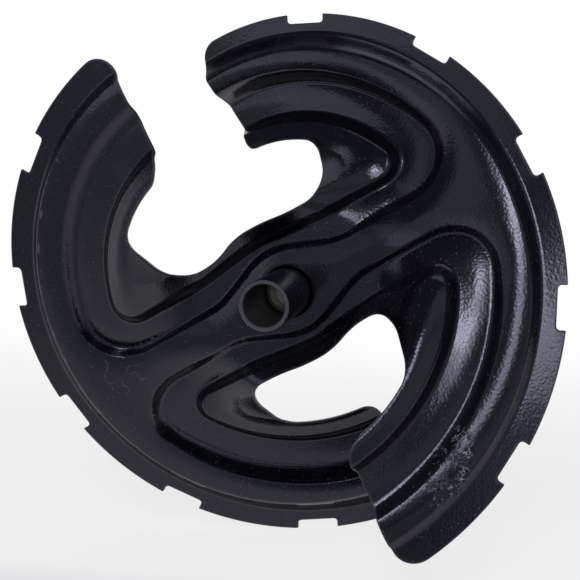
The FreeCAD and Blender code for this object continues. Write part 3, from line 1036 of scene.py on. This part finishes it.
def paper(name, letter, offset):
    """Paper that shows its plain colour in the picture and in reflections, white at the back."""
    finish = Finish(name)
    y = finish.axis(finish.place(), letter) + offset
    colour = finish.mix(y.ramp(*GREY_RANGE), PLAIN_WHITE, GREY)
    kinds = ("Is Camera Ray", "Is Glossy Ray", "Is Transmission Ray")
    rays = [finish.add("ShaderNodeLightPath", output=kind) for kind in kinds]
    seen = (rays[0] + rays[1] + rays[2]).at_most(1.0)
    finish.set(base_color=colour, roughness=PAPER_ROUGH)
    glow = finish.add("ShaderNodeEmission", inputs={"Color": colour, "Strength": 1.0})
    plain = Value(finish, finish.shader.outputs[0])
    share = seen * (GLOW_IN_FRONT + (1 - GLOW_IN_FRONT) * y.ramp(*GLOW_RANGE))
    shown = finish.add("ShaderNodeMixShader", inputs={0: share, 1: plain, 2: glow})
    finish.tree.links.new(shown.socket, finish.tree.nodes["Material Output"].inputs["Surface"])
    return finish.material


floor.data.materials.append(paper("pale_floor", "Y", floor_middle))
backdrop.data.materials.append(paper("white_backdrop", "Z", FLOOR_BACK))
world = bpy.data.worlds.new("studio")
bpy.context.scene.world = world
world.use_nodes = True
sky = world.node_tree.nodes["Background"]
sky.inputs["Color"].default_value = SKY
sky.inputs["Strength"].default_value = SKY_STRENGTH
print("sky strength", SKY_STRENGTH)

# %% Lamps
COOL_WHITE = (0.90, 0.92, 1.0)
# Each lamp has a name, a place, a width and a height in metres and a power in watts.
LAMPS = [
    ("key_above_camera", (0.19, -1.50, 0.92), (0.46, 0.66), 5.2),
    ("key_core", (0.07, -1.33, 1.06), (0.20, 0.26), 2.6),
    ("front_sheet", (0.0, -2.4, 0.1), (1.8, 2.0), 5.3),
    ("left_low", (-1.35, -1.25, 0.0), (1.5, 1.3), 6.2),
    ("right_fill", (1.5, -1.3, 0.3), (1.5, 1.4), 3.4),
    ("right_high", (0.96, -1.03, 1.41), (1.0, 1.0), 1.5),
    ("left_high", (-0.97, -1.43, 1.0), (0.7, 0.8), 1.0),
    ("top", (0.1, 0.3, 1.6), (1.2, 0.9), 3.2),
]


def softbox(name, place, size, power):
    """A rectangular lamp aimed at the hub."""
    bpy.ops.object.light_add(type="AREA", location=place)
    lamp = bpy.context.active_object
    lamp.name = name
    lamp.rotation_euler = (-Vector(place)).to_track_quat("-Z", "Y").to_euler()
    lamp.data.shape = "RECTANGLE"
    lamp.data.size, lamp.data.size_y = size
    lamp.data.color = COOL_WHITE
    lamp.data.energy = power


for lamp_sizes in LAMPS:
    softbox(*lamp_sizes)
print("lamps:", len(LAMPS))

# %% [markdown]
# ## Camera
# The camera looks at the hub from slightly above and to the right, as the photograph does. Its angle was
# fitted to the notches of the rim in the photograph. The focal length is kept in pixels of a square picture
# and turned into millimetres here.

# %% Camera at the photograph's angle
CAMERA_AZIMUTH = math.radians(13.78)
CAMERA_ELEVATION = math.radians(8.51)
CAMERA_DISTANCE = 0.8
FOCAL_PIXELS = 1447.2
IMAGE_SIDE = 580
SENSOR_WIDTH = 36.0
NEAREST_SEEN = 0.01
bpy.ops.object.camera_add()
camera = bpy.context.active_object
away = Vector((
    math.sin(CAMERA_AZIMUTH) * math.cos(CAMERA_ELEVATION),
    -math.cos(CAMERA_AZIMUTH) * math.cos(CAMERA_ELEVATION),
    math.sin(CAMERA_ELEVATION),
))
camera.location = away * CAMERA_DISTANCE
camera.rotation_euler = (-away).to_track_quat("-Z", "Y").to_euler()
camera.data.sensor_width = SENSOR_WIDTH
camera.data.lens = FOCAL_PIXELS / IMAGE_SIDE * SENSOR_WIDTH
camera.data.clip_start = NEAREST_SEEN
bpy.context.scene.camera = camera
bpy.context.scene.view_settings.view_transform = "Standard"
print("lens:", round(camera.data.lens, 1), "mm")

# %% [markdown]
# ## Closing
# The view layer is brought up to date at the end. The box of the finished look has to lie inside the CAD
# model's box.

# %% Bring the scene up to date
bpy.context.view_layer.update()
